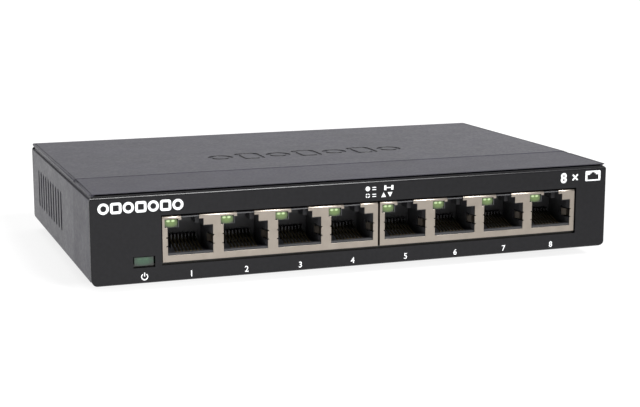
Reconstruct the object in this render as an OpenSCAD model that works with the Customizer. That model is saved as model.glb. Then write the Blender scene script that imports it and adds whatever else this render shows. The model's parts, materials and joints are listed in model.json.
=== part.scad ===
// Desktop Ethernet switch: eight shielded jacks on one board in a folded steel case.
// +X is to the right seen from the front, +Y to the rear and +Z up. The origin is on the
// surface that the feet stand on, at the centre of the case.

/* [Case] */
// Width over the side walls
case_w = 158; // [157:1:170]
// Depth over the front and rear panels
case_d = 101; // [101:1:120]
// Height from the surface to the top of the cover
overall_h = 29; // [29:0.5:34]
// Thickness of the sheet steel
sheet = 0.8; // [0.6:0.1:0.9]
// Outer radius of the tray's bends
bend_r = 1; // [0.9:0.05:1.2]
// Radius of the panels' lower corners
panel_corner = 2.2; // [1.5:0.1:2.5]
// Radius of the panels' upper corners
panel_round = 1.4; // [0.8:0.1:2]

/* [Cover] */
// Distance from the front panel to the step across the cover
step_y = 25.2; // [18:0.2:30]
// Number of vents in each side
vent_count = 10; // [4:1:10]
// Distance between vent centres
vent_pitch = 4.63; // [4:0.01:4.8]
// Width of a vent
vent_w = 1.9; // [1.2:0.1:2.5]
// Height of a vent
vent_h = 12; // [8:0.5:14]

/* [Feet and wall hanging] */
// Height of a foot below the case
foot_h = 3.1; // [2.5:0.1:3.5]
// Radius of a foot
foot_r = 6; // [4:0.5:7]
// Distance between the keyholes for wall screws
keyhole_spacing = 94; // [84:1:100]
// Radius of the hole that a wall screw's head passes
keyhole_r = 3.6; // [3:0.1:4]

/* [Jacks] */
// Distance between port centres
port_pitch = 15.88; // [15.88:0.01:15.95]
// Gap between the two blocks of four ports
block_gap = 0.6; // [0.4:0.1:1]
// Centre of the row of ports, to the right of the case's centre
ports_x = 4.65; // [3:0.05:6]
// Free angle of the contact springs above the floor of a port
contact_rise = 18; // [12:0.5:18]

/* [Power inlet] */
// Centre of the power inlet, to the right of the case's centre
inlet_x = -55; // [-56:0.5:-49]
// Radius of the inlet's barrel hole
barrel_r = 3.2; // [3:0.05:3.3]
// Radius of the inlet's centre pin
inlet_pin_r = 1.05; // [1:0.05:1.25]

/* [Hidden] */
$fn = 48;
PORTS = 8;
TRANSFORMERS = 4;

// Inside in_case(), y runs back from the front panel's face and z up from the panels' lower edge.
cover_h = overall_h - foot_h;
panel_h = cover_h - 1;
lip_d = 8;
front_lip_w = case_w - 6;
rear_lip_w = case_w - 42;
bottom_w = case_w - 2 * panel_corner;
flange_h = 5.5;
edge_r = 0.4;

// Cover: side walls, a recessed neck under the rim, and the rim of the top
cover_y0 = bend_r + 0.05;
cover_y1 = case_d - cover_y0;
wall_z = 1.3;
neck_in = 0.7;
neck_slope = 0.2;
neck_z = cover_h - 2.05;
rim_in = 0.15;
rim_z = cover_h - 0.75;
rim_r = 0.4;
groove_in = 0.85;
groove_w = 0.35;
groove_depth = 0.2;
groove_end = 2;
step_drop = 0.12;
step_groove = 0.06;
front_drop = 0.45;
seam_h = 0.25;
seam_back = 2;
rim_notch_y = 21.3;
rim_notch_l = 2.4;
vents_y = 66.55;
vents_z = 12.9;
mark_y = 49.3;
mark_depth = 0.3;
mark_pitch = 9.4;
tab_w = 12;
tab_h = 12;
tab_x = case_w / 2 - 11;
cover_screw_z = panel_h - 5.9;
flat_head_r = 2.6;
flat_head_h = case_d - cover_y1;
flush_gap = 0.05;
cover_screw_l = 5;

// Board and its posts
board_z = 3.8;
board_t = 1.6;
board_top = board_z + board_t;
board_w = case_w - 8;
board_y0 = 1.2;
board_y1 = case_d - 2;
post_x = case_w / 2 - 10;
post_y = [40, case_d - 11];
post_r = 3;
screw_r = 1.4;
tapped_r = 1.45;
clear_r = 1.7;

// Jacks: ports are numbered from the left
block_w = 4 * port_pitch - 0.02;
jack_y0 = 0.4;
jack_y1 = 17;
jack_top = board_top + 13;
shield_t = 0.3;
shield_bend = 0.8;
window_gap = 0.3;
window_sill = 0.65;
port_half_w = 6.42;
cavity_half_w = 6;
port_floor = 7.2;
lip_top = 7.8;
lip_back = 1.9;
port_roof = 15.2;
cavity_roof = 15;
cavity_back = 12.5;
latch_half_w = 2.5;
latch_cut = 4;
latch_back = 9;
latch_top = 17.65;
shoulder_x = [-3.15, 3.75];
shoulder_z = 17.05;
shoulder_back = 5;
led_x0 = -7.2;
led_x1 = -3.4;
led_z0 = 15.05;
led_z1 = 17.4;
led_back = 7;
finger_z0 = 9.95;
finger_z1 = 12.05;
nick = 0.35;
pocket_x = [5, 6.75];
pocket_back = 5.8;
comb_y = 10.2;
comb_h = 3.8;
insert_y0 = 2;
contact_pitch = 1.02;
contact_w = 0.45;
contact_t = 0.3;
contact_l = 9.5;
flex_y = 2.55;
flex_z = 7.7;

// Power indicator window, a little larger than the light pipe's face
power_gap = 0.35;
power_sill = 0.5;
power_x = -64.4;
power_w = 5.4;
power_z0 = 5;
power_z1 = 7.45;

// Power inlet
inlet_w = 9;
inlet_h = 11;
inlet_y0 = case_d - 14.4;
inlet_y1 = case_d - 0.4;
barrel_y0 = inlet_y0 + 3;
barrel_z = board_top + 6.5;
lock_x = 52;
lock_z = 12;

// Parts on the board
module_y = 28;
chip_pos = [4, 52];
chip_w = 20;
chip_h = 1.5;
pad_h = 0.3;
sink_w = 24;

function block_x(side) = ports_x + (side == "left" ? -1 : 1) * (block_w + block_gap) / 2;
function port_x(n) = block_x(n <= 4 ? "left" : "right") + ((n - 1) % 4 - 1.5) * port_pitch;
function ports_of(side) = side == "left" ? [1 : 4] : [5 : 8];

// ---- Helpers ----

module in_case() {
    translate([0, -case_d / 2, foot_h]) children();
}

// Extrudes a shape drawn in x and z along y
module along_y(y0, y1) {
    translate([0, y1, 0]) rotate([90, 0, 0]) linear_extrude(y1 - y0) children();
}

// Extrudes a shape drawn in y and z along x
module along_x(x0, x1) {
    translate([x0, 0, 0]) rotate([90, 0, 90]) linear_extrude(x1 - x0) children();
}

module block(lo, hi) {
    translate(lo) cube(hi - lo);
}

module rect(lo, hi) {
    translate(lo) square(hi - lo);
}

module rounded_rect(w, h, r) {
    square([w - 2 * r, h], center = true);
    square([w, h - 2 * r], center = true);
    for (sx = [-1, 1], sy = [-1, 1]) translate([sx * (w / 2 - r), sy * (h / 2 - r)]) circle(r);
}

module stadium(w, l) {
    square([w, l - w], center = true);
    for (s = [-1, 1]) translate([0, s * (l - w) / 2]) circle(w / 2);
}

// Cut into a screw's head, whose top is on z = 0
module cross_recess(head) {
    for (a = [0, 90]) rotate(a) translate([-head * 0.6, -0.3, -0.8]) cube([head * 1.2, 0.6, 2]);
}

// A pan-headed screw, its head on z = 0 and its shank below
module pan_screw(shank, len, head) {
    difference() {
        union() {
            cylinder(r = head, h = 0.8);
            translate([0, 0, 0.8]) cylinder(r1 = head, r2 = head - 0.9, h = 0.9);
        }
        translate([0, 0, 1.7]) cross_recess(head);
    }
    translate([0, 0, -len]) cylinder(r = shank, h = len);
}

// Gull-wing leads along both sides of a chip that is centred on the origin
module gull_leads(count, pitch, half_w, lead_w, rise) {
    for (s = [0, 180], i = [0 : count - 1])
        rotate(s) translate([(i - (count - 1) / 2) * pitch, 0, 0]) along_x(-lead_w / 2, lead_w / 2)
            polygon([[half_w, rise], [half_w + 0.6, rise], [half_w + 0.6, 0.2], [half_w + 1.4, 0.2],
                [half_w + 1.4, 0], [half_w + 0.4, 0], [half_w + 0.4, rise - 0.2], [half_w, rise - 0.2]]);
}

// A chip package with a first-pin dimple, standing on z = 0
module chip_body(w, d, h) {
    difference() {
        translate([-w / 2, -d / 2, 0.1]) cube([w, d, h - 0.1]);
        translate([-w / 2 + 1.2, -d / 2 + 1.2, h - 0.15]) cylinder(r = min(0.6, w / 10), h = 1);
    }
}

// ---- Case ----

module panel_outline() {
    half = case_w / 2;
    rect([-half, panel_corner], [half, panel_h - panel_round]);
    rect([-half + panel_corner, 0], [half - panel_corner, panel_h / 2]);
    rect([-half + panel_round, panel_h / 2], [half - panel_round, panel_h]);
    for (s = [-1, 1]) {
        translate([s * (half - panel_corner), panel_corner]) circle(panel_corner);
        translate([s * (half - panel_round), panel_h - panel_round]) circle(panel_round);
    }
}

// The tray's section from front to rear: bottom, two panels and their top lips
module tray_section() {
    difference() {
        translate([case_d / 2, panel_h / 2]) rounded_rect(case_d, panel_h, bend_r);
        rect([sheet, sheet], [case_d - sheet, panel_h - sheet]);
        rect([lip_d, panel_h - 2 * sheet], [case_d - lip_d, panel_h + sheet]);
    }
}

module tray_shell() {
    intersection() {
        along_x(-case_w / 2, case_w / 2) tray_section();
        union() {
            along_y(-1, bend_r) panel_outline();
            along_y(case_d - bend_r, case_d + 1) panel_outline();
            block([-bottom_w / 2, 0, -1], [bottom_w / 2, case_d, sheet]);
            block([-front_lip_w / 2, 0, panel_h - sheet], [front_lip_w / 2, lip_d, panel_h]);
            block([-rear_lip_w / 2, case_d - lip_d, panel_h - sheet], [rear_lip_w / 2, case_d, panel_h]);
        }
        translate([0, case_d / 2, -1]) linear_extrude(panel_h + 2) rounded_rect(case_w, case_d, edge_r);
    }
    for (s = [-1, 1]) translate([s * (bottom_w - sheet) / 2 - sheet / 2, lip_d, 0])
        cube([sheet, case_d - 2 * lip_d, flange_h]);
}

// The conical hole in the rear panel for a flat-headed screw, its mouth on z = 0
module countersink() {
    slope = (flat_head_r - screw_r) / flat_head_h;
    mouth_r = flat_head_r + 0.1;
    over = 0.2;
    translate([0, 0, -sheet - over])
        cylinder(r1 = mouth_r - slope * (sheet + over), r2 = mouth_r + slope * over, h = sheet + 2 * over);
}

module keyhole() {
    cylinder(r = keyhole_r, h = 3, center = true);
    translate([-2, 0, -1.5]) cube([4, 7.5, 3]);
    translate([0, 7.5, 0]) cylinder(r = 2, h = 3, center = true);
}

module base_tray() {
    color("#26262a") in_case() difference() {
        tray_shell();
        block([block_x("left") - block_w / 2 - window_gap, -1, board_top - window_sill],
            [block_x("right") + block_w / 2 + window_gap, bend_r, jack_top + window_gap]);
        block([power_x - power_w / 2 - power_gap, -1, power_z0 - power_sill],
            [power_x + power_w / 2 + power_gap, bend_r, power_z1 + power_gap / 2]);
        block([inlet_x - inlet_w / 2 - 0.2, case_d - bend_r, board_top - 0.2],
            [inlet_x + inlet_w / 2 + 0.2, case_d + 1, board_top + inlet_h + 0.2]);
        along_y(case_d - 2, case_d + 1) translate([lock_x, lock_z]) rotate(90) stadium(3, 7);
        for (s = [-1, 1]) {
            translate([s * tab_x, case_d, cover_screw_z]) rotate([-90, 0, 0]) countersink();
            translate([s * keyhole_spacing / 2, case_d / 2, sheet / 2]) keyhole();
        }
    }
}

module cover_section() {
    half = case_w / 2;
    rect([-half, wall_z], [half, neck_z]);
    neck = half - neck_in;
    polygon([[-half, neck_z], [half, neck_z], [neck, neck_z + neck_slope], [-neck, neck_z + neck_slope]]);
    rect([-neck, neck_z], [neck, rim_z]);
    rect([-half + rim_in, rim_z], [half - rim_in, cover_h - rim_r]);
    rect([-half + rim_in + rim_r, rim_z], [half - rim_in - rim_r, cover_h]);
    for (s = [-1, 1]) translate([s * (half - rim_in - rim_r), cover_h - rim_r]) circle(rim_r);
}

// Removed above the lower front zone of the cover, with a fine groove along the step
module front_zone_cut() {
    polygon([[0, cover_h + 1], [0, cover_h - front_drop], [step_y - 0.6, cover_h - step_drop],
        [step_y - 0.2, cover_h - step_drop - step_groove], [step_y, cover_h], [step_y, cover_h + 1]]);
}

// A shallow groove that sets the rim off from the top, at the same depth in both zones
module edge_groove_cut() {
    z = cover_h - groove_depth;
    rear = cover_y1 - groove_end;
    polygon([[0, cover_h + 1], [0, z - front_drop], [step_y, z - step_drop], [step_y, z], [rear, z],
        [rear, cover_h + 1]]);
}

// Seven plain outlines pressed into the top: rings and rounded squares in turn
module top_marks() {
    for (i = [-3 : 3]) translate([i * mark_pitch, 0])
        if (i % 2 == 0) difference() {
            rounded_rect(7.6, 11.4, 1.8);
            rounded_rect(4.6, 8.4, 0.8);
        } else difference() {
            circle(3.9);
            circle(2.5);
        }
}

module top_cover() {
    inner = case_w / 2 - sheet;
    neck_inner = inner - neck_in;
    color("#3a3a3e") in_case() {
        difference() {
            along_y(cover_y0, cover_y1) cover_section();
            block([-inner, 0, 0], [inner, case_d, neck_z - sheet]);
            block([-neck_inner, 0, 0], [neck_inner, case_d, panel_h]);
            block([-neck_inner, 0, panel_h - 1], [neck_inner, cover_y0 + seam_back, panel_h + seam_h]);
            block([-neck_inner, step_y, 0], [neck_inner, case_d, cover_h - sheet]);
            along_x(-case_w, case_w) front_zone_cut();
            for (s = [-1, 1]) translate([s * (case_w / 2 - groove_in), 0, 0])
                along_x(-groove_w / 2, groove_w / 2) edge_groove_cut();
            along_x(-case_w, case_w) translate([vents_y, vents_z]) for (i = [0 : vent_count - 1])
                translate([(i - (vent_count - 1) / 2) * vent_pitch, 0]) stadium(vent_w, vent_h);
            for (s = [-1, 1])
                translate([s * case_w / 2 - 0.5, rim_notch_y, rim_z]) cube([1, rim_notch_l, 2]);
            translate([-0.4, mark_y, cover_h - mark_depth]) linear_extrude(1) top_marks();
        }
        for (s = [-1, 1]) difference() {
            translate([s * tab_x - tab_w / 2, cover_y1 - sheet, panel_h - tab_h])
                cube([tab_w, sheet, tab_h + cover_h - panel_h - sheet / 2]);
            translate([s * tab_x, case_d, cover_screw_z]) rotate([90, 0, 0]) cylinder(r = tapped_r, h = 3);
        }
    }
}

// Flat-headed screws, flush with the rear panel
module cover_screws() {
    head_h = flat_head_h - flush_gap;
    color("#2e2e30") in_case() for (s = [-1, 1])
        translate([s * tab_x, case_d - flush_gap, cover_screw_z]) rotate([-90, 0, 0]) difference() {
            union() {
                translate([0, 0, -head_h]) cylinder(r1 = screw_r, r2 = flat_head_r, h = head_h);
                translate([0, 0, -cover_screw_l]) cylinder(r = screw_r, h = cover_screw_l - head_h);
            }
            cross_recess(flat_head_r);
        }
}

module foot(sx, row) {
    color("#151515") translate([sx * (case_w / 2 - 15), row * (case_d / 2 - 21), 0]) rotate_extrude() {
        square([foot_r - 0.8, foot_h]);
        rect([0, 0.8], [foot_r, foot_h]);
        translate([foot_r - 0.8, 0.8]) intersection() {
            circle(0.8);
            rect([-0.4, -1], [1, 1]);
        }
    }
}

module underside_label() {
    thickness = 0.12;
    color("#d8d8d4") in_case() translate([0, case_d / 2, -thickness])
        linear_extrude(thickness) rounded_rect(64, 30, 2);
}

// ---- Board ----

module each_post() {
    for (s = [-1, 1], y = post_y) translate([s * post_x, y, 0]) children();
}

module circuit_board() {
    color("#1f5a34") in_case() difference() {
        block([-board_w / 2, board_y0, board_z], [board_w / 2, board_y1, board_top]);
        each_post() translate([0, 0, board_z - 1]) cylinder(r = clear_r, h = 4);
    }
}

module board_standoffs() {
    color("#c9b36a") in_case() each_post() translate([0, 0, sheet]) difference() {
        cylinder(r = post_r, h = board_z - sheet, $fn = 6);
        translate([0, 0, 0.3]) cylinder(r = tapped_r, h = board_z);
    }
}

module board_screws() {
    shank_l = board_t + 2.4;
    head_r = 2.8;
    color("#b9bcc0") in_case() each_post() translate([0, 0, board_top]) pan_screw(screw_r, shank_l, head_r);
}

// ---- Jacks ----

// A block's section from front to rear, drawn in from the outside by inset, with a bend at its top front
module block_section(inset, z0) {
    rect([jack_y0 + inset, z0], [jack_y1 - inset, jack_top - shield_bend]);
    rect([jack_y0 + shield_bend, z0], [jack_y1 - inset, jack_top - inset]);
    translate([jack_y0 + shield_bend, jack_top - shield_bend]) circle(shield_bend - inset);
}

// The opening in the shield for one port, around its centre line
module port_opening() {
    rect([-port_half_w, port_floor], [port_half_w, port_roof]);
    rect([led_x0, led_z0], [led_x1, led_z1]);
    rect([led_x1 - 0.1, port_roof - 0.1], [shoulder_x[1], shoulder_z]);
    for (z = [finger_z0 - nick, finger_z1])
        rect([-port_half_w - nick, z], [port_half_w + nick, z + nick]);
}

// The latch notch, which runs up through the shield's bend into its top
module latch_notch() {
    rect([-latch_half_w, port_roof - 0.1], [latch_half_w, jack_top + 1]);
}

// Earthing fingers folded back from both edges of an opening, with a knee that a plug presses outwards
module port_fingers() {
    root = port_half_w + shield_t;
    for (s = [0, 1]) mirror([s, 0, 0]) translate([0, 0, finger_z0]) linear_extrude(finger_z1 - finger_z0)
        polygon([[root, jack_y0], [root, 1], [6.6, 2.4], [5.85, 3.9], [6.5, 5.4],
            [6.2, 5.4], [5.5, 3.9], [6.3, 2.3], [port_half_w, 1], [port_half_w, jack_y0]]);
}

module jack_shield(side) {
    x0 = block_x(side) - block_w / 2;
    x1 = x0 + block_w;
    color("#beb2a5") in_case() {
        difference() {
            along_x(x0, x1) block_section(0, board_top);
            along_x(x0 + shield_t, x1 - shield_t) block_section(shield_t, 0);
            block([x0 + 1, jack_y1 - 1, 0], [x1 - 1, jack_y1 + 1, board_top + 1.2]);
            for (n = ports_of(side)) translate([port_x(n), 0, 0]) {
                along_y(jack_y0 - 1, jack_y0 + shield_t) port_opening();
                along_y(jack_y0 - 1, jack_y0 + latch_cut) latch_notch();
            }
        }
        for (n = ports_of(side)) translate([port_x(n), 0, 0]) port_fingers();
    }
}

// Everything that is hollow in a housing for one port, behind a low lip that guards the contacts
module port_hollow() {
    block([-cavity_half_w, lip_back, port_floor], [cavity_half_w, cavity_back, cavity_roof]);
    translate([0, 0, lip_top]) linear_extrude(cavity_roof - lip_top)
        polygon([[-port_half_w, 0.6], [port_half_w, 0.6], [cavity_half_w, 2], [-cavity_half_w, 2]]);
    block([-latch_half_w, 0, cavity_roof - 1], [latch_half_w, latch_back, latch_top]);
    block([shoulder_x[0], 0, cavity_roof - 1], [shoulder_x[1], shoulder_back, shoulder_z]);
    block([led_x0, 0, led_z0], [led_x1, led_back, led_z1]);
    for (s = [0, 1]) mirror([s, 0, 0])
        block([pocket_x[0], 0, finger_z0 - nick], [pocket_x[1], pocket_back, finger_z1 + nick]);
}

// The space that the contact insert fills under the ports of a block
module insert_space(side) {
    x = block_x(side);
    half = block_w / 2 - 1.5;
    block([x - half, insert_y0, board_top], [x + half, jack_y1 - shield_t, port_floor]);
}

module jack_housing(side) {
    x = block_x(side);
    color("#17171a") in_case() difference() {
        along_x(x - block_w / 2 + shield_t, x + block_w / 2 - shield_t) block_section(shield_t, board_top);
        insert_space(side);
        for (n = ports_of(side)) translate([port_x(n), 0, 0]) port_hollow();
    }
}

// The fixed part of one contact: nose, run through the insert, and foot on the board
module contact_lead() {
    rear = jack_y1 + 0.5;
    along_x(-contact_w / 2, contact_w / 2)
        polygon([[2.4, 6], [2.4, 7.45], [2.7, 7.45], [2.7, 6.3], [rear, 6.3],
            [rear, board_top + 0.3], [rear + 1.1, board_top + 0.3], [rear + 1.1, board_top],
            [rear - 0.3, board_top], [rear - 0.3, 6]]);
}

module each_contact(n) {
    for (i = [0 : 7]) translate([port_x(n) + (i - 3.5) * contact_pitch, 0, 0]) children();
}

// Plate under the ports, with a comb at the back of each one that keeps the contacts apart
module contact_insert(side) {
    color("#202024") in_case() {
        difference() {
            insert_space(side);
            for (n = ports_of(side)) each_contact(n) contact_lead();
        }
        for (n = ports_of(side), i = [-4 : 4])
            translate([port_x(n) + i * contact_pitch - 0.15, comb_y, port_floor])
                cube([0.3, cavity_back - comb_y, comb_h]);
    }
}

module contact_leads(side) {
    color("#d9b45a") in_case() for (n = ports_of(side)) each_contact(n) contact_lead();
}

// The eight spring arms of one port, which a plug presses down about their front ends
module port_contacts(n) {
    color("#e0b94f") in_case() each_contact(n) translate([-contact_w / 2, flex_y, flex_z]) {
        rotate([0, 90, 0]) cylinder(r = contact_t / 2, h = contact_w);
        rotate([contact_rise, 0, 0]) translate([0, 0, -contact_t / 2])
            cube([contact_w, contact_l, contact_t]);
    }
}

// A light with a slightly rounded front face
module lens(w, y0, y1, z0, z1, bulge) {
    r = (w * w / 4 + bulge * bulge) / (2 * bulge);
    block([-w / 2, y0 + bulge, z0], [w / 2, y1, z1]);
    intersection() {
        block([-w / 2, y0, z0], [w / 2, y0 + 2 * bulge, z1]);
        translate([0, y0 + r, z0]) cylinder(r = r, h = z1 - z0, $fn = 96);
    }
}

module link_led(n) {
    color("#39d353") in_case() translate([port_x(n) + (led_x0 + led_x1) / 2, 0, 0])
        lens(led_x1 - led_x0 - 0.1, 0.55, led_back - 0.2, led_z0 + 0.05, led_z1 - 0.05, 0.35);
}

module power_light_pipe() {
    color("#2d6441") in_case() translate([power_x, 0, 0]) {
        lens(power_w - 0.1, 0.25, board_y0 - 0.02, power_z0 + 0.05, power_z1 - 0.05, 0.2);
        block([-power_w / 2 + 0.05, 1, board_top], [power_w / 2 - 0.05, 6, power_z1 - 0.05]);
    }
}

module power_led() {
    color("#9fd8a8") in_case() translate([power_x, 0, 0]) {
        block([-1.6, 6.1, board_top], [1.6, 7.9, board_top + 1.1]);
        block([-1.2, 6.3, board_top + 1.1], [1.2, 7.7, board_top + 1.5]);
    }
}

// ---- Power inlet ----

module dc_jack_body() {
    color("#1a1a1c") in_case() translate([inlet_x, 0, 0]) difference() {
        block([-inlet_w / 2, inlet_y0, board_top], [inlet_w / 2, inlet_y1, board_top + inlet_h]);
        translate([0, barrel_y0, barrel_z]) rotate([-90, 0, 0]) cylinder(r = barrel_r, h = 20);
        block([-1.6, barrel_y0, barrel_z - barrel_r - 0.9], [1.6, case_d - 3, barrel_z]);
    }
}

module dc_jack_pin() {
    len = case_d - 2.6 - barrel_y0;
    color("#d4d4d8") in_case() translate([inlet_x, barrel_y0, barrel_z]) rotate([-90, 0, 0]) {
        cylinder(r = inlet_pin_r, h = len);
        translate([0, 0, len]) sphere(inlet_pin_r);
    }
}

module dc_jack_spring() {
    z = barrel_z - barrel_r - 0.9;
    color("#c8c8cc") in_case() along_x(inlet_x - 1.3, inlet_x + 1.3) translate([barrel_y0, z])
        polygon([[0, 0], [3, 0], [6, 1.1], [7.6, 0.7], [7.6, 1.05], [6, 1.45], [2.9, 0.35], [0, 0.35]]);
}

// ---- Parts on the board ----

module on_board(x, y) {
    in_case() translate([x, y, board_top]) children();
}

// One module of isolating transformers for two ports
module transformer(n) {
    color("#222226") on_board((port_x(2 * n - 1) + port_x(2 * n)) / 2, module_y) {
        difference() {
            translate([-14, -4.5, 0.4]) cube([28, 9, 5.4]);
            translate([-12.6, -3.1, 5.6]) cylinder(r = 0.7, h = 1);
        }
        gull_leads(12, 2.1, 4.5, 0.6, 1.6);
    }
}

module switch_chip() {
    color("#1c1c1e") on_board(chip_pos.x, chip_pos.y) {
        chip_body(chip_w, chip_w, chip_h);
        for (a = [0, 90]) rotate(a) gull_leads(16, 1.1, chip_w / 2, 0.4, 0.9);
    }
}

module thermal_pad() {
    color("#9a9aa2") on_board(chip_pos.x, chip_pos.y)
        translate([-8, -8, chip_h]) cube([16, 16, pad_h]);
}

module heat_sink() {
    color("#b4b7bb") on_board(chip_pos.x, chip_pos.y) translate([-sink_w / 2, -sink_w / 2, chip_h + pad_h]) {
        cube([sink_w, sink_w, 2]);
        for (i = [0 : 7]) translate([i * (sink_w - 1) / 7, 0, 2]) cube([1, sink_w, 7]);
    }
}

module crystal() {
    color("#c4c6c8") on_board(-22, 50) {
        linear_extrude(0.6) rounded_rect(11, 4.9, 2.4);
        translate([0, 0, 0.6]) linear_extrude(3) rounded_rect(10, 4, 1.95);
    }
}

module flash_chip() {
    color("#1c1c1e") on_board(34, 50) {
        chip_body(5, 4, 1.6);
        gull_leads(4, 1.27, 2, 0.42, 0.9);
    }
}

module power_inductor() {
    color("#3c3c40") on_board(-30, 78) {
        linear_extrude(4.2) rounded_rect(9, 9, 2);
        translate([0, 0, 4.2]) cylinder(r = 3, h = 0.3);
    }
}

// A can on a square base, with a cross of vent grooves in its top
module capacitor_can(r, h) {
    translate([-r, -r, 0]) cube([2 * r, 2 * r, 0.8]);
    difference() {
        cylinder(r = r, h = h);
        for (a = [0, 90]) rotate(a) translate([-r * 0.7, -0.15, h - 0.2]) cube([r * 1.4, 0.3, 1]);
    }
}

module electrolytic_capacitors() {
    color("#c2c4c8") {
        on_board(-40, 86) capacitor_can(4, 10.5);
        on_board(-18, 86) capacitor_can(3.15, 7.7);
    }
}

module voltage_regulator() {
    color("#1c1c1e") on_board(-8, 78) {
        chip_body(6.5, 3.5, 1.6);
        translate([-1.5, 1.7, 0]) cube([3, 1.8, 0.3]);
        for (x = [-2.3, 0, 2.3]) translate([x - 0.35, -3.4, 0]) cube([0.7, 1.9, 0.3]);
    }
}

module rectifier_diode() {
    color("#242428") on_board(-44, 74) {
        chip_body(4.4, 2.6, 2.2);
        for (x = [-2.7, 1.7]) translate([x, -0.8, 0]) cube([1, 1.6, 0.3]);
    }
}

module input_fuse() {
    color("#d9cfae") on_board(-56, 76) {
        translate([-1.5, -3, 0.05]) cube([3, 6, 1.3]);
        for (y = [-3, 2]) translate([-1.6, y, 0]) cube([3.2, 1, 1.4]);
    }
}

// Two rows of small rectangular parts between the transformers and the switch chip
module chip_row(count, pitch, y, size) {
    for (i = [0 : count - 1])
        on_board(ports_x + (i - (count - 1) / 2) * pitch - size.x / 2, y) cube(size);
}

module chip_resistors() {
    color("#2a2a2e") chip_row(16, 7, 37.5, [1.6, 0.8, 0.5]);
}

module chip_capacitors() {
    color("#c9a878") chip_row(12, 9, 66, [2, 1.25, 0.9]);
}

top_cover();
base_tray();
underside_label();
circuit_board();
board_standoffs();
board_screws();
cover_screws();
foot(-1, -1);  // foot_front_left
foot(1, -1);  // foot_front_right
foot(-1, 1);  // foot_rear_left
foot(1, 1);  // foot_rear_right
for (side = ["left", "right"]) {
    jack_shield(side);
    jack_housing(side);
    contact_insert(side);
    contact_leads(side);
}
for (n = [1 : PORTS]) {
    port_contacts(n);
    link_led(n);
}
power_light_pipe();
power_led();
dc_jack_body();
dc_jack_pin();
dc_jack_spring();
for (n = [1 : TRANSFORMERS])
    transformer(n);
switch_chip();
thermal_pad();
heat_sink();
crystal();
flash_chip();
power_inductor();
electrolytic_capacitors();
voltage_regulator();
rectifier_diode();
input_fuse();
chip_resistors();
chip_capacitors();
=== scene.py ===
"""Looks of the desktop network switch: finishes for every part, the signs on the front, and the studio."""
import json
import math

import bpy
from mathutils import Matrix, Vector


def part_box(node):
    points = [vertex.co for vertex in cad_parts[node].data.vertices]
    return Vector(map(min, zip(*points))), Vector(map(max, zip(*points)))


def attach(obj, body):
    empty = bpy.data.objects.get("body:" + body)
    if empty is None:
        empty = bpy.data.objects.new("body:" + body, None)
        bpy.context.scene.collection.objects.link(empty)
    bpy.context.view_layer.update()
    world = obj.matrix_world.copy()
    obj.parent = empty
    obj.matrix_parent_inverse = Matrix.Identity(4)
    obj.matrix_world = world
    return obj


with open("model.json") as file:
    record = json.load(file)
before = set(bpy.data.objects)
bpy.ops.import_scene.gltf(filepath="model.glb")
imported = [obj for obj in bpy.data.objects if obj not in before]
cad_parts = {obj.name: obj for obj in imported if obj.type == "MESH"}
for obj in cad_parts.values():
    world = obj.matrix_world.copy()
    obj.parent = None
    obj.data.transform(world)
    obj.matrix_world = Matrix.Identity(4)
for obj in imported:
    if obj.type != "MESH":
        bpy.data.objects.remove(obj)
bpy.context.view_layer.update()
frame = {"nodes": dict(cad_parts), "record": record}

MM = 0.001
BODY = "case"
PORTS = range(1, 9)
tray_lo, tray_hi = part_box("base_tray")
FACE_Y = tray_lo.y
PANEL_Z = tray_lo.z
LEFT_X = tray_lo.x
RIGHT_X = tray_hi.x

# The cover's step behind the front panel, and the row of marks pressed into its top
STEP_BACK = 25.2 * MM
STEP_BLUR = 0.3 * MM
MARK_DEPTH = 0.3 * MM
MARK_SKIN = 0.01 * MM
MARK_HALF_W = 36 * MM
MARK_HALF_D = 9 * MM


def add_object(name, data):
    thing = bpy.data.objects.new(name, data)
    bpy.context.scene.collection.objects.link(thing)
    return thing


# ---- Material helpers ----

def material(name, color, roughness, metallic=0.0, **sockets):
    """A Principled material; sockets are further inputs, with _ for a space in their names."""
    mat = bpy.data.materials.new(name)
    mat.use_nodes = True
    shader = mat.node_tree.nodes["Principled BSDF"]
    shader.inputs["Base Color"].default_value = (*color, 1)
    shader.inputs["Roughness"].default_value = roughness
    shader.inputs["Metallic"].default_value = metallic
    for key, value in sockets.items():
        shader.inputs[key.replace("_", " ")].default_value = value
    return mat, mat.node_tree, shader


def coordinates(tree, stretch=(1, 1, 1), kind="Object"):
    """Object or Generated coordinates; stretch makes a pattern that many times longer along each axis."""
    source = tree.nodes.new("ShaderNodeTexCoord")
    mapping = tree.nodes.new("ShaderNodeMapping")
    mapping.inputs["Scale"].default_value = [1 / s for s in stretch]
    tree.links.new(source.outputs[kind], mapping.inputs["Vector"])
    return mapping.outputs["Vector"]


def noise(tree, vector, size, detail=2.0, roughness=0.5):
    """Noise whose features are about size metres across."""
    node = tree.nodes.new("ShaderNodeTexNoise")
    node.inputs["Scale"].default_value = 1 / size
    node.inputs["Detail"].default_value = detail
    node.inputs["Roughness"].default_value = roughness
    tree.links.new(vector, node.inputs["Vector"])
    return node.outputs["Fac"]


def spread(tree, value, low, high, start=0.3, end=0.7):
    """Takes value from start to end over to low to high."""
    node = tree.nodes.new("ShaderNodeMapRange")
    node.inputs["From Min"].default_value = start
    node.inputs["From Max"].default_value = end
    node.inputs["To Min"].default_value = low
    node.inputs["To Max"].default_value = high
    tree.links.new(value, node.inputs["Value"])
    return node.outputs["Result"]


def blend_colors(tree, factor, first, second):
    """A colour between first and second, by factor; each of them is a colour or a socket."""
    node = tree.nodes.new("ShaderNodeMix")
    node.data_type = "RGBA"
    for name, color in (("A", first), ("B", second)):
        if isinstance(color, tuple):
            node.inputs[name].default_value = (*color, 1)
        else:
            tree.links.new(color, node.inputs[name])
    tree.links.new(factor, node.inputs["Factor"])
    return node.outputs["Result"]


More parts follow.
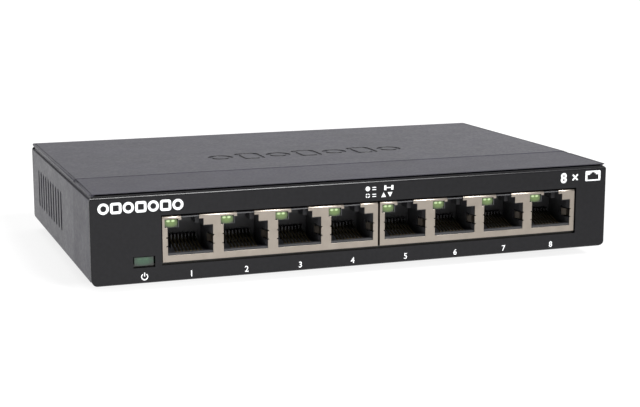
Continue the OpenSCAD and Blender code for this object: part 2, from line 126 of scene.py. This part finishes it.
def arithmetic(tree, operation, *values):
    """The result of a Math node; each value is a number or a socket."""
    node = tree.nodes.new("ShaderNodeMath")
    node.operation = operation
    for socket, value in zip(node.inputs, values):
        if isinstance(value, (int, float)):
            socket.default_value = value
        else:
            tree.links.new(value, socket)
    return node.outputs["Value"]


def product(tree, *factors):
    result = factors[0]
    for factor in factors[1:]:
        result = arithmetic(tree, "MULTIPLY", result, factor)
    return result


def near(tree, value, centre, reach):
    """1 where value is within reach of centre, and 0 elsewhere."""
    return arithmetic(tree, "COMPARE", value, centre, reach)


def axes(tree, vector):
    """The X, Y and Z of a vector, as sockets by name."""
    node = tree.nodes.new("ShaderNodeSeparateXYZ")
    tree.links.new(vector, node.inputs["Vector"])
    return node.outputs


def bump(tree, shader, height, depth):
    """Raises the surface by up to depth metres where height is 1."""
    node = tree.nodes.new("ShaderNodeBump")
    node.inputs["Strength"].default_value = 1.0
    node.inputs["Distance"].default_value = depth
    tree.links.new(height, node.inputs["Height"])
    tree.links.new(node.outputs["Normal"], shader.inputs["Normal"])


def scaled(color, factor):
    return tuple(min(1.0, c * factor) for c in color)


# ---- Finishes ----

def coat(name, color, roughness, grain, depth, specular, mottle=0.2, uneven=0.03):
    """Paint on sheet metal: a fine grain, and specks and handling marks in its colour and gloss."""
    mat, tree, shader = material(name, color, roughness, Specular_IOR_Level=specular)
    vector = coordinates(tree)
    fine = noise(tree, vector, grain, detail=1.5)
    cloud = noise(tree, vector, 18 * MM, detail=3)
    speck = noise(tree, vector, grain * 2.2, detail=1)
    mottled = arithmetic(tree, "ADD", arithmetic(tree, "MULTIPLY", cloud, 0.3),
                         arithmetic(tree, "MULTIPLY", speck, 0.7))
    darker, lighter = scaled(color, 1 - mottle), scaled(color, 1 + mottle)
    tone = blend_colors(tree, spread(tree, mottled, 0, 1), darker, lighter)
    tree.links.new(tone, shader.inputs["Base Color"])
    rubbed = arithmetic(tree, "MULTIPLY", noise(tree, vector, 7 * MM, detail=4, roughness=0.6), 0.3)
    patchy = arithmetic(tree, "ADD", rubbed, arithmetic(tree, "MULTIPLY", speck, 0.7))
    gloss = spread(tree, patchy, roughness - uneven, roughness + uneven)
    tree.links.new(gloss, shader.inputs["Roughness"])
    bump(tree, shader, fine, depth)
    return mat


def cover_coat():
    """The cover's paint: duller on its lower front zone, with painted shade on the floors of the pressed
    marks.
    """
    color = (0.024, 0.0226, 0.0345)
    mat = coat("powder_coat", color, 0.45, 0.42 * MM, 0.03 * MM, 0.5, mottle=0.45, uneven=0.08)
    tree = mat.node_tree
    shader = tree.nodes["Principled BSDF"]
    place = axes(tree, coordinates(tree))
    step = FACE_Y + STEP_BACK
    zone = spread(tree, place["Y"], 1, 0, start=step - STEP_BLUR, end=step + STEP_BLUR)
    gloss = shader.inputs["Roughness"].links[0].from_socket
    duller = arithmetic(tree, "ADD", gloss, arithmetic(tree, "MULTIPLY", zone, 0.05))
    tree.links.new(duller, shader.inputs["Roughness"])
    # Painted shade: the floors of the pressed marks are painted near-black, standing for the shade that
    # their walls cast.
    middle_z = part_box("top_cover")[1].z - MARK_DEPTH / 2
    painted_shade_in_marks = product(tree, near(tree, place["X"], 0, MARK_HALF_W), near(tree, place["Y"], 0, MARK_HALF_D),
                     near(tree, place["Z"], middle_z, MARK_DEPTH / 2 - MARK_SKIN))
    tone = shader.inputs["Base Color"].links[0].from_socket
    tree.links.new(blend_colors(tree, painted_shade_in_marks, tone, (0.004, 0.004, 0.005)), shader.inputs["Base Color"])
    return mat


def moulded(name, color, roughness, texture=0.12 * MM, depth=0.004 * MM, **sockets):
    """Moulded plastic, rubber or epoxy with a fine spark-eroded texture."""
    mat, tree, shader = material(name, color, roughness, **sockets)
    vector = coordinates(tree)
    cloud = noise(tree, vector, 4 * MM, detail=3)
    tone = blend_colors(tree, spread(tree, cloud, 0, 1), scaled(color, 0.85), scaled(color, 1.2))
    tree.links.new(tone, shader.inputs["Base Color"])
    tree.links.new(spread(tree, cloud, roughness - 0.06, roughness + 0.06), shader.inputs["Roughness"])
    bump(tree, shader, noise(tree, vector, texture, detail=1), depth)
    return mat


def metal(name, color, roughness, stretch=(1, 1, 1), depth=0.002 * MM):
    """Bare or plated metal, drawn along the axis that stretch lengthens."""
    mat, tree, shader = material(name, color, roughness, metallic=1.0)
    streak = noise(tree, coordinates(tree, stretch), 0.16 * MM, detail=3, roughness=0.6)
    stain = noise(tree, coordinates(tree), 3 * MM, detail=3)
    tone = blend_colors(tree, spread(tree, stain, 0, 1), scaled(color, 0.93), scaled(color, 1.05))
    tree.links.new(tone, shader.inputs["Base Color"])
    tree.links.new(spread(tree, streak, roughness - 0.07, roughness + 0.09), shader.inputs["Roughness"])
    bump(tree, shader, streak, depth)
    return mat


def blob(tree, place, x, z, radius):
    """1 at the middle of a soft round spot and 0 outside it, in Generated coordinates of a part's front."""
    front = axes(tree, place)
    across = arithmetic(tree, "SUBTRACT", front["X"], x)
    up = arithmetic(tree, "SUBTRACT", front["Z"], z)
    square = arithmetic(tree, "ADD", product(tree, across, across), product(tree, up, up))
    return spread(tree, square, 1, 0, start=0, end=radius * radius)


# The two painted glints, highlights painted into a lens's colour, as fractions of its front
GLINT_X = (0.26, 0.62)
GLINT_Z = 0.78
GLINT_R = 0.17


def lamp_lens(name, color, glint, glow):
    """A clear coloured moulding with painted shade that leaves it lighter towards its top and darker at its
    edges, and two painted glints near its top.
    """
    mat, tree, shader = material(name, color, 0.18, Coat_Weight=0.4, Coat_Roughness=0.08)
    shader.inputs["Emission Strength"].default_value = glow
    place = coordinates(tree, kind="Generated")
    # Painted highlights: two glints painted into the lens's colour near its top.
    left, right = [blob(tree, place, x, GLINT_Z, GLINT_R) for x in GLINT_X]
    painted_glints = arithmetic(tree, "MAXIMUM", left, right)
    # Painted shade: the colour falls to 0.12 of itself towards the lens's edges and lower part, as light
    # from above would leave it.
    shade = blend_colors(tree, blob(tree, place, 0.44, 0.58, 0.64), scaled(color, 0.12), scaled(color, 1.15))
    tone = blend_colors(tree, painted_glints, shade, glint)
    tree.links.new(tone, shader.inputs["Base Color"])
    # The emission takes this painted colour too, so the painted glints and painted shade glow.
    tree.links.new(tone, shader.inputs["Emission Color"])
    return mat


def board_mask():
    """Green solder mask over copper tracks, and on the board's cut edges laminate brown darkened to
    near-black as painted shade.
    """
    mat, tree, shader = material("board_mask", (0.03, 0.14, 0.06), 0.32, Coat_Weight=0.3)
    vector = coordinates(tree)
    along = tree.nodes.new("ShaderNodeTexWave")
    along.bands_direction = "X"
    along.inputs["Scale"].default_value = 90
    along.inputs["Distortion"].default_value = 0.6
    tree.links.new(vector, along.inputs["Vector"])
    area = noise(tree, vector, 9 * MM, detail=1)
    stripes = spread(tree, along.outputs["Fac"], 0, 1, 0.45, 0.55)
    track = product(tree, stripes, spread(tree, area, 0, 1, 0.48, 0.5))
    mask = blend_colors(tree, track, (0.020, 0.105, 0.045), (0.045, 0.20, 0.085))
    # Partly real laminate colour, partly painted shade: every cut edge, the one seen through the gap behind
    # the panel among them, is near-black brown.
    facing = tree.nodes.new("ShaderNodeTexCoord")
    shaded_cut_edge = near(tree, axes(tree, facing.outputs["Normal"])["Z"], 0, 0.5)
    tree.links.new(blend_colors(tree, shaded_cut_edge, mask, (0.016, 0.013, 0.009)), shader.inputs["Base Color"])
    bump(tree, shader, track, 0.02 * MM)
    return mat


def ink_white():
    """White pad-printed ink, slightly uneven at its edges and in its cover."""
    mat, tree, shader = material("ink_white", (0.86, 0.87, 0.88), 0.5)
    cover = noise(tree, coordinates(tree), 0.35 * MM, detail=2)
    tone = blend_colors(tree, spread(tree, cover, 0, 1), (0.82, 0.83, 0.84), (0.92, 0.93, 0.94))
    tree.links.new(tone, shader.inputs["Base Color"])
    bump(tree, shader, cover, 0.002 * MM)
    return mat


LENGTHWISE = (14, 1, 1)
UPRIGHT = (1, 1, 9)
FINISHES = {
    "cover_paint": cover_coat(),
    "tray_paint": coat("satin_paint", (0.0075, 0.0073, 0.0085), 0.22, 0.5 * MM, 0.001 * MM, 0.2),
    "label_film": moulded("label_film", (0.78, 0.78, 0.76), 0.45),
    "board_laminate": board_mask(),
    "zinc_steel": metal("zinc_plate", (0.66, 0.67, 0.68), 0.3),
    "black_screw": metal("black_oxide", (0.05, 0.05, 0.052), 0.42),
    "foot_rubber": moulded("foot_rubber", (0.018, 0.018, 0.018), 0.82, texture=0.3 * MM, depth=0.01 * MM),
    "shield_plate": metal("nickel_plate", (0.325, 0.287, 0.247), 0.36, UPRIGHT),
    "jack_plastic": moulded("jack_plastic", (0.032, 0.032, 0.035), 0.55),
    # Gold contacts, their gold darkened far below its own colour as painted shade for the deep jack
    # openings.
    "contact_gold": metal("contact_gold", (0.045, 0.036, 0.020), 0.5),
    "link_lens": lamp_lens("link_lens", (0.075, 0.125, 0.028), (0.42, 0.55, 0.28), 0.12),
    "power_lens": lamp_lens("power_lens", (0.009, 0.042, 0.018), (0.018, 0.062, 0.028), 0.05),
    "led_epoxy": moulded("led_epoxy", (0.55, 0.80, 0.58), 0.2),
    "inlet_plastic": moulded("inlet_plastic", (0.013, 0.013, 0.014), 0.33),
    "inlet_metal": metal("inlet_metal", (0.72, 0.72, 0.73), 0.24),
    "module_black": moulded("module_epoxy", (0.020, 0.020, 0.022), 0.48),
    "chip_black": moulded("chip_epoxy", (0.016, 0.016, 0.018), 0.4),
    "pad_silicone": moulded("pad_silicone", (0.42, 0.43, 0.47), 0.7),
    "sink_aluminium": metal("sink_aluminium", (0.70, 0.71, 0.73), 0.38, LENGTHWISE),
    "can_metal": metal("can_metal", (0.74, 0.75, 0.77), 0.22),
    "ferrite": moulded("ferrite", (0.05, 0.05, 0.055), 0.65, texture=0.2 * MM, depth=0.01 * MM),
    "fuse_ceramic": moulded("fuse_ceramic", (0.68, 0.62, 0.48), 0.35),
    "resistor_black": moulded("resistor_glaze", (0.03, 0.03, 0.035), 0.25),
    "capacitor_tan": moulded("capacitor_ceramic", (0.52, 0.40, 0.25), 0.4),
}


def finish_cad_nodes():
    for part in frame["record"]["subparts"]:
        node = frame["nodes"][part["node"]]
        for material_slot in node.material_slots:
            material_slot.material = FINISHES[part["material_slot"]]


# ---- Edges ----

def round_edges(node_name, width):
    """Takes the knife edge off a part: its flat faces are joined first, so that the rounds run evenly."""
    node = frame["nodes"][node_name]
    weld = node.modifiers.new("weld", "WELD")
    weld.merge_threshold = 0.001 * MM
    join_flats = node.modifiers.new("join_flats", "DECIMATE")
    join_flats.decimate_type = "DISSOLVE"
    join_flats.angle_limit = math.radians(0.6)
    rounds = node.modifiers.new("rounds", "BEVEL")
    rounds.width = width
    rounds.segments = 2
    rounds.limit_method = "ANGLE"
    rounds.angle_limit = math.radians(35)
    rounds.use_clamp_overlap = False
    rounds.harden_normals = True


def round_main_edges():
    round_edges("top_cover", 0.1 * MM)
    for side in ("left", "right"):
        round_edges(f"jack_shield_{side}", 0.07 * MM)


# ---- Signs printed on the front panel ----

INK_T = 0.02 * MM
INK = ink_white()


def print_sign(name, outlines, x, z):
    """A flat printed shape; outlines are closed lists of (x, z) about its own origin, inner ones holes."""
    curve = bpy.data.curves.new(name, "CURVE")
    curve.dimensions = "2D"
    curve.fill_mode = "BOTH"
    curve.extrude = INK_T
    for outline in outlines:
        spline = curve.splines.new("POLY")
        spline.points.add(len(outline) - 1)
        for point, (px, pz) in zip(spline.points, outline):
            point.co = (px, pz, 0, 1)
        spline.use_cyclic_u = True
    return settle_ink(name, curve, 1.0, x, z)


def print_digit(digit, height, x, z, bold=0.01):
    """A figure centred on x, standing on z, its strokes widened by bold."""
    curve = bpy.data.curves.new(f"numeral_{digit}", "FONT")
    curve.body = str(digit)
    curve.align_x = "CENTER"
    curve.fill_mode = "BOTH"
    curve.offset = bold
    probe = add_object("probe", curve)
    bpy.context.view_layer.update()
    grow = height / probe.dimensions.y
    bpy.data.objects.remove(probe)
    curve.extrude = INK_T / grow
    return settle_ink(f"numeral_{digit}_{round(height / MM)}mm", curve, grow, x, z)


def settle_ink(name, curve, grow, x, z):
    """Turns a flat curve into a mesh that stands on the front panel and rides on the case."""
    flat = add_object(name + "_outline", curve)
    bpy.context.view_layer.update()
    mesh = bpy.data.meshes.new_from_object(flat.evaluated_get(bpy.context.evaluated_depsgraph_get()))
    bpy.data.objects.remove(flat)
    for vertex in mesh.vertices:
        across, up, out = vertex.co * grow
        vertex.co = (x + across, FACE_Y - out, z + up)
    if faces_inward(mesh):
        mesh.flip_normals()
    mesh.name = name
    mesh.materials.clear()
    mesh.materials.append(INK)
    sign = add_object(name, mesh)
    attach(sign, BODY)
    return sign


def faces_inward(mesh):
    """Whether the faces on the outer side of a printed shape look into the panel."""
    outer = min(mesh.polygons, key=lambda face: face.center.y)
    return outer.normal.y > 0


def arc(radius, start, end, steps, cx=0.0, cz=0.0):
    """Points on an arc, angles in degrees from +x towards +z."""
    angles = [math.radians(start + (end - start) * i / steps) for i in range(steps + 1)]
    return [(cx + radius * math.cos(a), cz + radius * math.sin(a)) for a in angles]


def ring_part(radius, stroke, start, end, steps=24):
    """A stroke along an arc."""
    outer = arc(radius + stroke / 2, start, end, steps)
    inner = arc(radius - stroke / 2, end, start, steps)
    return outer + inner


def disc(radius, cx=0.0, cz=0.0):
    return arc(radius, 0, 345, 23, cx, cz)


def bar(width, height, cx=0.0, cz=0.0):
    w, h = width / 2, height / 2
    return [(cx - w, cz - h), (cx + w, cz - h), (cx + w, cz + h), (cx - w, cz + h)]


def jack_outline(width, height, cx=0.0, cz=0.0):
    """The outline of a jack's opening: a box with a stepped notch for the latch on top."""
    w, body, step = width / 2, height * 0.68, height * 0.84
    half = [(w, 0), (w, body), (w * 0.55, body), (w * 0.55, step), (w * 0.3, step), (w * 0.3, height)]
    return [(cx + px, cz + pz) for px, pz in half] + [(cx - px, cz + pz) for px, pz in reversed(half)]


def rounded_box(width, height, radius, cx=0.0, cz=0.0):
    w, h = width / 2 - radius, height / 2 - radius
    corners = ((w, h, 0), (-w, h, 90), (-w, -h, 180), (w, -h, 270))
    return [point for px, pz, a in corners for point in arc(radius, a, a + 90, 6, cx + px, cz + pz)]


def triangle(width, height, cx, cz, way):
    """An arrowhead that points up where way is 1 and down where it is -1."""
    w, tip = width / 2, way * height / 2
    return [(cx - w, cz - tip), (cx + w, cz - tip), (cx, cz + tip)]


def port_centre(n):
    lo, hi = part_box(f"port_contacts_{n}")
    return (lo.x + hi.x) / 2


# Heights of the signs over the panel's lower edge, and the insets of the two outer ones from its sides
NUMERAL_H = 1.7 * MM
NUMERAL_UP = 1.06 * MM
POWER_SIGN_UP = 2.0 * MM
ROW_MARK_IN, ROW_MARK_UP = 14.0 * MM, 21.45 * MM
PORT_COUNT_IN, PORT_COUNT_UP = 9.05 * MM, 20.5 * MM
LEGEND_UP = 21.4 * MM


def print_front():
    """Port numbers, the power sign, and pictograms where such a case carries its names."""
    for n in PORTS:
        print_digit(n, NUMERAL_H, port_centre(n), PANEL_Z + NUMERAL_UP)

    lo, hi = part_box("power_light_pipe")
    power_r, stroke = 0.85 * MM, 0.28 * MM
    print_sign("power_sign", [ring_part(power_r, stroke, 125, 415), bar(stroke, 1.1 * MM, 0, 0.65 * MM)],
               (lo.x + hi.x) / 2, PANEL_Z + POWER_SIGN_UP)

    print_row_mark(LEFT_X + ROW_MARK_IN, PANEL_Z + ROW_MARK_UP)
    print_port_count(RIGHT_X - PORT_COUNT_IN, PANEL_Z + PORT_COUNT_UP)
    print_legend((port_centre(4) + port_centre(5)) / 2, PANEL_Z + LEGEND_UP)


def print_row_mark(x, z):
    """Rings and rounded squares in turn: the same plain row as the one pressed into the cover."""
    size, stroke, pitch, count = 3.1 * MM, 0.72 * MM, 3.42 * MM, 7
    outlines = []
    for i in range(count):
        cx = (i - (count - 1) / 2) * pitch
        if i % 2:
            outer = rounded_box(size, size, 0.7 * MM, cx)
            inner = rounded_box(size - 2 * stroke, size - 2 * stroke, 0.2 * MM, cx)
        else:
            outer = disc(size / 2, cx)
            inner = disc(size / 2 - stroke, cx)
        outlines += [outer, inner]
    print_sign("row_mark", outlines, x, z)


def print_port_count(x, z):
    """The figure 8, a times sign and a jack."""
    height, arm = 3.1 * MM, 0.34 * MM
    print_digit(8, height, x - 5.6 * MM, z, bold=0.035)
    quarter = [(arm, 0), (3 * arm, 2 * arm), (2 * arm, 3 * arm)]
    cross = []
    for turn in range(4):
        for px, pz in quarter:
            for _ in range(turn):
                px, pz = -pz, px
            cross.append((px, pz))
    print_sign("times_sign", [cross], x - 1.7 * MM, z + height * 0.45)
    jack = [rounded_box(5.2 * MM, height, 0.3 * MM, 0, height / 2),
            jack_outline(3.8 * MM, height * 0.72, 0, height * 0.13)]
    print_sign("jack_sign", jack, x + 4.4 * MM, z)


def print_legend(x, z):
    """A full dot for a link and a broken ring for traffic, each with what it stands for."""
    row = 1.0 * MM
    dot_x, equals_x = -3.7 * MM, -1.7 * MM
    for name, side in (("link", 1), ("traffic", -1)):
        equals = [bar(1.15 * MM, 0.24 * MM, equals_x, side * row + up) for up in (0.32 * MM, -0.32 * MM)]
        print_sign(f"{name}_equals", equals, x, z)
    print_sign("steady_light", [disc(0.68 * MM, dot_x, row)], x, z)
    broken = [ring_part(0.54 * MM, 0.28 * MM, a, a + 60, 6) for a in (15, 105, 195, 285)]
    print_sign("blinking_light", [[(px + dot_x, pz - row) for px, pz in part] for part in broken], x, z)
    w, h, gap = 0.68 * MM, 0.13 * MM, 1.5 * MM
    ends = [(gap - w, w), (gap, w), (gap, h), (2 * gap, h), (2 * gap, w), (2 * gap + w, w)]
    joined = [(px + gap / 2, pz + row) for px, pz in ends + [(px, -pz) for px, pz in reversed(ends)]]
    print_sign("joined_ends", [joined], x - 0.2 * MM, z)
    pair = ((1.2 * MM, 1), (3.2 * MM, -1))
    arrows = [triangle(1.5 * MM, 1.35 * MM, cx, -row, way) for cx, way in pair]
    print_sign("arrows", arrows, x, z)


# ---- Studio ----

CAMERA_AT = Vector((-0.14649, -0.41871, 0.09565))
CAMERA_YAW = 19.85
CAMERA_DOWN = 10.63
CAMERA_LENS = 79.3
FLOOR_R = 6
FLOOR_SIDES = 64
FLOOR_GLOW = 0.8
PAINTED_POOL_GLOW = 0.5


def aim(thing, direction):
    thing.rotation_mode = "QUATERNION"
    thing.rotation_quaternion = direction.to_track_quat("-Z", "Y")


def place_camera():
    data = bpy.data.cameras.new("camera")
    data.sensor_width = 36
    data.lens = CAMERA_LENS
    data.clip_start = 0.01
    camera = add_object("camera", data)
    camera.location = CAMERA_AT
    yaw, down = math.radians(CAMERA_YAW), math.radians(CAMERA_DOWN)
    aim(camera, Vector((math.sin(yaw) * math.cos(down), math.cos(yaw) * math.cos(down), -math.sin(down))))
    bpy.context.scene.camera = camera


def lay_floor():
    """A pale, evenly glowing disc of floor, wide enough to fill the view, with a painted pool of light
    brightest to the front left of the object.
    """
    mesh = bpy.data.meshes.new("studio_floor")
    turns = [math.tau * i / FLOOR_SIDES for i in range(FLOOR_SIDES)]
    rim = [(FLOOR_R * math.cos(a), FLOOR_R * math.sin(a), 0) for a in turns]
    mesh.from_pydata(rim, [], [tuple(range(FLOOR_SIDES))])
    mat, tree, shader = material("floor_paper", (0.2, 0.2, 0.2), 0.9, Specular_IOR_Level=0.1)
    shader.inputs["Emission Color"].default_value = (1, 1, 1, 1)
    place = axes(tree, coordinates(tree))
    # Painted pool of light: an extra glow in the floor in front of the object, strongest to its left.
    leftward = spread(tree, place["X"], 1, 0, start=-0.08, end=0.17)
    frontward = spread(tree, place["Y"], 1, 0, start=-0.07, end=-0.03)
    painted_light_pool = product(tree, leftward, frontward, PAINTED_POOL_GLOW)
    tree.links.new(arithmetic(tree, "ADD", painted_light_pool, FLOOR_GLOW), shader.inputs["Emission Strength"])
    fibre = noise(tree, coordinates(tree), 0.05, detail=3)
    paper = blend_colors(tree, fibre, (0.19, 0.19, 0.19), (0.21, 0.21, 0.21))
    tree.links.new(paper, shader.inputs["Base Color"])
    mesh.materials.append(mat)
    floor = add_object("studio_floor", mesh)


def light_studio():
    """White surroundings behind and to the sides, dimmer in front, under a wide lamp and a narrower one."""
    world = bpy.data.worlds.new("studio")
    world.use_nodes = True
    tree = world.node_tree
    back = tree.nodes["Background"]
    source = tree.nodes.new("ShaderNodeTexCoord")
    way = axes(tree, source.outputs["Generated"])
    rearward = spread(tree, way["Y"], 0.22, 0.72, start=-0.45, end=0.35)
    rightward = spread(tree, way["X"], 0.93, 1.35, start=0.12, end=0.6)
    seen = tree.nodes.new("ShaderNodeLightPath")
    lit = arithmetic(tree, "MULTIPLY", rearward, rightward)
    tree.links.new(arithmetic(tree, "MAXIMUM", lit, seen.outputs["Is Camera Ray"]), back.inputs["Strength"])
    back.inputs["Color"].default_value = (1, 1, 1, 1)
    bpy.context.scene.world = world

    hang_lamp("wide_lamp", 1.1, 60, Vector((0.3, -0.3, -1)))
    hang_lamp("edge_lamp", 3.6, 17, Vector((-0.28, 0.75, -0.60)))
    bpy.context.scene.view_settings.view_transform = "Standard"


def hang_lamp(name, strength, spread_angle, direction):
    lamp = bpy.data.lights.new(name, "SUN")
    lamp.energy = strength
    lamp.angle = math.radians(spread_angle)
    aim(add_object(name, lamp), direction)


place_camera()
finish_cad_nodes()
round_main_edges()
print_front()
lay_floor()
light_studio()
